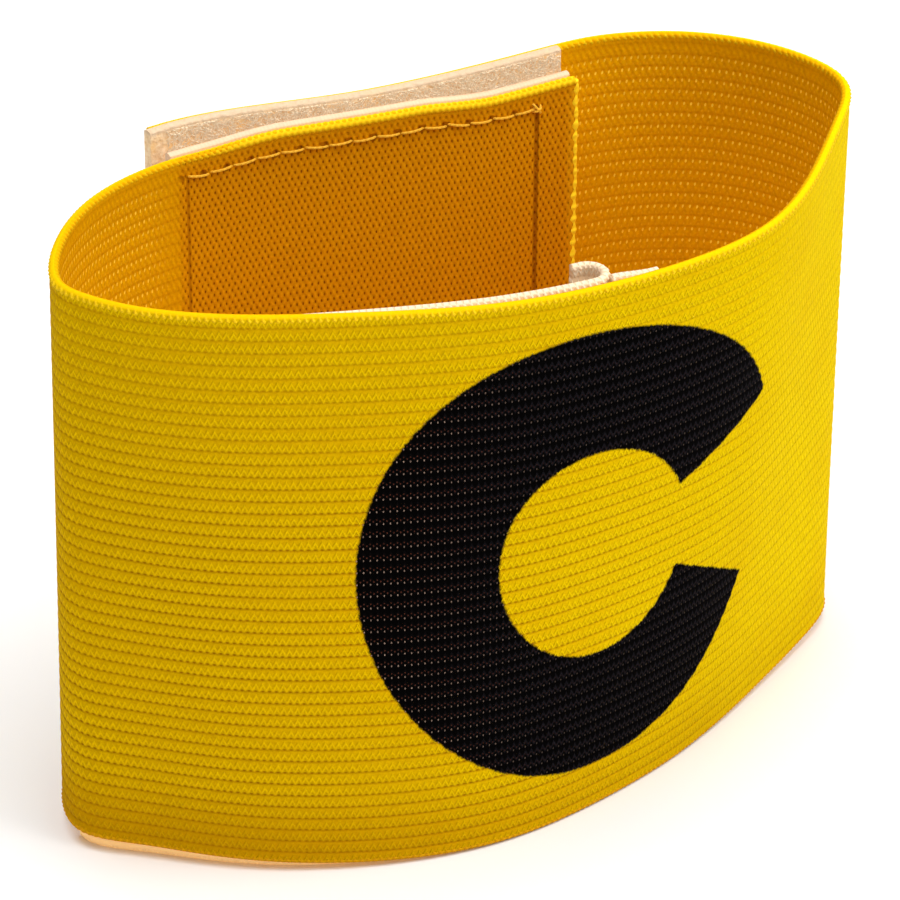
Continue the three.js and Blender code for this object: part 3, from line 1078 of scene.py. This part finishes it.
# %% Pile of the loop tape
PILE_RADIUS = 0.00005
PILE_REACH = 0.0005
PILE_RUN = (0.0008, 0.0022)
PILE_MARGIN = 0.0001
PILE_END = 0.0012
PILE_TOP = 0.0045
PILE_FOOT = 0.0030
PEELED_LENGTH = 0.014


def pile(count, along_range, rise_range, reach, random):
    """Arches of fibre on the loop tape's inner face: a half sine away from the wall, over a straight
    run in a random direction."""
    t = np.linspace(0, 1, 5)[None, :]
    along = random.uniform(*along_range, (count, 1))
    rise = random.uniform(*rise_range, (count, 1))
    angle = random.uniform(0, 2 * np.pi, (count, 1))
    run = random.uniform(*PILE_RUN, (count, 1))
    height = random.uniform(0.4, 1.0, (count, 1)) * reach
    along = np.clip(along + run * np.cos(angle) * t, *along_range)
    rise = np.minimum(rise + run * np.sin(angle) * t, BAND_HEIGHT - PILE_MARGIN)
    face = LOOP_OFFSET + GAP_FILL / 2 + peel_at(along) - (LOOP_WALL + GAP_FILL) / 2
    offset = face + PILE_MARGIN - height * np.sin(np.pi * t) ** 0.8
    z = bottom_at(along) + LOOP_PROUD + rise
    line = wall_point(along, offset, z)
    return strands(line, out_of_wall(along, offset, z), PILE_RADIUS, PILE_RADIUS, 3)


random = np.random.default_rng(11)
tape_ends = (TURN + LOOP_INSET + 2 * PILE_MARGIN, STRIP_LENGTH - PILE_END)
peeled = (STRIP_LENGTH - PEELED_LENGTH, STRIP_LENGTH - PILE_END)
pile_strands = add_strands("loop_pile", [
    pile(2600, tape_ends, (BAND_HEIGHT - PILE_TOP, BAND_HEIGHT - PILE_MARGIN), PILE_REACH, random),
    pile(1200, tape_ends, (2 * PILE_MARGIN, PILE_FOOT), 0.6 * PILE_REACH, random),
    pile(1200, peeled, (PILE_FOOT, BAND_HEIGHT - PILE_TOP), PILE_REACH, random),
], PILE)

# %% [markdown]
# The lining
#
# The cream strip's free end turns back in a hairpin, and a short end shows past it. Both have beaded
# edges. A cloth simulation could find the fold, but the photograph shows it, so it follows its path.
# Along the floor the lining shows as one pale line, and a thicker strand stands for it.

# %% Lining and stub
CREAM_RELIEF = 0.00008
LINING_STEP = 0.0018
STUB_STEP = 0.0012
lining = add_strip("cream_lining", lining_path(LINING_STEP), LINING_WALL, TAPE_RIM, [CREAM_KNIT],
                   samples_per_row=4, relief=(CREAM_RELIEF, CREAM_RELIEF))
stub = add_strip("cream_stub", stub_path(STUB_STEP), LINING_WALL, TAPE_RIM, [CREAM_KNIT],
                 samples_per_row=4, relief=(CREAM_RELIEF, CREAM_RELIEF))

# %% Edges of the lining
LINING_EDGE_RADIUS = 0.00042
LINING_FOOT_RADIUS = 0.0010
FOOT_STEP = 0.001
lining_edges = add_strands("lining_selvedges", [
    selvedge(path(FINE_STEP), LINING_WALL, at_top=True, radius=LINING_EDGE_RADIUS, swell=0.22)
    for path in (lining_path, stub_path)
], CREAM_EDGE)
lining_foot = add_strands("lining_foot", [
    selvedge(path(FOOT_STEP), LINING_WALL, at_top=False, radius=LINING_FOOT_RADIUS, swell=0)
    for path in (lining_path, stub_path)
], CREAM_FOOT)

# %% [markdown]
# Sewing thread
#
# Each tape is sewn down along its four sides. On the inner end the thread shows on the side of the arm,
# on the outer end it shows at the back. A stitch is a short strand that rises out of the cloth and goes
# back in: a drawn line would throw no shadow on the knit. The inner end's upright seams lie so deep in
# their creases that only the creases show.

# %% Stitches
THREAD_RADIUS = 0.00017
THREAD_WOBBLE = (-0.00010, 0.00022)


def seam(start, end, face, out, rise, sunk, random):
    """Stitches from one place on the cloth to another, each place an along and a height. Along a stitch
    the thread's distance from the face is a half sine, less how far it is sunk."""
    length = math.hypot(end[0] - start[0], end[1] - start[1])
    count = max(1, round(length / STITCH_LENGTH))
    share = (np.arange(count)[:, None] + np.linspace(0.04, 0.96, 9)[None, :]) / count
    wobble = random.uniform(*THREAD_WOBBLE, (count, 1)) * np.linspace(-1, 1, 9)[None, :]
    along = start[0] + (end[0] - start[0]) * share
    height = start[1] + (end[1] - start[1]) * share + wobble
    bulge = rise * np.sin(np.pi * np.linspace(0, 1, 9))[None, :] ** 0.6 - sunk
    offset = face(along) + out * bulge
    z = bottom_at(along) + height * height_at(along) / BAND_HEIGHT
    return strands(wall_point(along, offset, z), out_of_wall(along, offset, z), THREAD_RADIUS,
                   THREAD_RADIUS, 6)


# %% Seams round a tape
# A stitch's rise out of the cloth, and how far it is sunk in it
LEVEL_STITCH = (0.00036, 0.00009)
UPRIGHT_STITCH = (0.00034, 0.00022)


def level_seams(ends, face, out, random):
    """The seams along a tape's two long sides."""
    return [
        seam((ends[0], high), (ends[1], high), face, out, *LEVEL_STITCH, random)
        for high in (BAND_HEIGHT - SEAM_INSET, SEAM_INSET)
    ]


def upright_seams(ends, face, out, random):
    """The seams at a tape's two ends."""
    low, high = SEAM_INSET, BAND_HEIGHT - SEAM_INSET
    return [seam((end, low), (end, high), face, out, *UPRIGHT_STITCH, random) for end in ends]


# %% Knot and threads
KNOT_ARM = 0.0006
KNOT_RISES = (0.0006, 0.0007)
KNOT_SUNK = 0.00010
OUTER_SEAM_ENDS = (0.0030, 0.0040)


def knot(at, face, out, random):
    """Two short stitches that cross where the seam was started."""
    x, y, arm = *at, KNOT_ARM
    ends = [((x - arm, y - arm), (x + arm, y + arm)), ((x + arm, y - arm / 2), (x - arm, y + arm / 2))]
    return [seam(*pair, face, out, rise, KNOT_SUNK, random) for pair, rise in zip(ends, KNOT_RISES)]


inner_side = lambda q: band_offset(q) - BAND_WALL / 2
outer_side = lambda q: band_offset(q) + BAND_WALL / 2
OUTER_SEAM = (TURN + LOOP_INSET + OUTER_SEAM_ENDS[0], STRIP_LENGTH - OUTER_SEAM_ENDS[1])
threads = add_strands("sewing_threads", [
    *level_seams(INNER_SEAM, inner_side, -1, random),
    *knot((INNER_SEAM[0], BAND_HEIGHT - SEAM_INSET), inner_side, -1, random),
    *level_seams(OUTER_SEAM, outer_side, 1, random),
    *upright_seams(OUTER_SEAM, outer_side, 1, random),
], THREAD)

# %% [markdown]
# What stands for what
#
# Every dressed layer hides its CAD solid, which stays in the scene.

for piece, node, slot in (
    (strip, "band", "yellow_knit"),
    (hook_tape, "hook_tape", "cream_hook"),
    (loop_tape, "loop_tape", "cream_pile"),
    (lining, "lining", "cream_knit"),
    (stub, "lining_stub", "cream_knit"),
):
    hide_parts(node)

print("Sheets declared; the strip was cut to", round(STRIP_LENGTH, 4), "by", BAND_HEIGHT)

# %% [markdown]
# Floor and light
#
# The photograph has a white ground and soft light from above and from the right, with a soft shadow at
# the lower left. Wide square lamps give the soft edges, and a dim white world fills the shade.

# %% Floor
# Half the side of the square
FLOOR_SIZE = 3.0
FLOOR_GREY = 0.93


def make_floor():
    """A flat pale square under the armband."""
    mesh = bpy.data.meshes.new("floor")
    corners = [(x * FLOOR_SIZE, y * FLOOR_SIZE, 0) for x, y in ((-1, -1), (1, -1), (1, 1), (-1, 1))]
    mesh.from_pydata(corners, [], [(0, 1, 2, 3)])
    finish = Finish("floor_finish", {"Base Color": (*[FLOOR_GREY] * 3, 1.0), "Roughness": 0.9})
    mesh.materials.append(finish.material)
    floor = bpy.data.objects.new("floor", mesh)
    bpy.context.scene.collection.objects.link(floor)


make_floor()
print("Floor of", 2 * FLOOR_SIZE, "m")

# %% Light
LAMP_DISTANCE = 1.2
# Name, azimuth and elevation in degrees, side in metres, power in watts
LAMPS = (
    ("key_lamp", 55, 35, 1.0, 9.0),
    ("top_lamp", 0, 88, 1.2, 20),
    ("left_lamp", -60, 50, 0.9, 1.4),
    ("back_lamp", 160, 55, 0.9, 1.1),
)
WORLD_STRENGTH = 0.05


def lamp(name, azimuth, elevation, size, power):
    """A square lamp that faces the armband's middle."""
    data = bpy.data.lights.new(name, "AREA")
    data.shape = "SQUARE"
    data.size = size
    data.energy = power
    stand_off(name, data, Vector((0, 0, BAND_HEIGHT / 2)), azimuth, elevation, LAMP_DISTANCE)


def make_world():
    """An even white world, which lifts the shadows a little."""
    world = bpy.data.worlds.new("studio")
    world.use_nodes = True
    background = world.node_tree.nodes["Background"]
    background.inputs["Color"].default_value = (1.0, 1.0, 1.0, 1.0)
    background.inputs["Strength"].default_value = WORLD_STRENGTH
    bpy.context.scene.world = world


make_world()
for settings in LAMPS:
    lamp(*settings)
bpy.context.scene.view_settings.view_transform = "Standard"
print("Lamps:", len(bpy.data.lights))
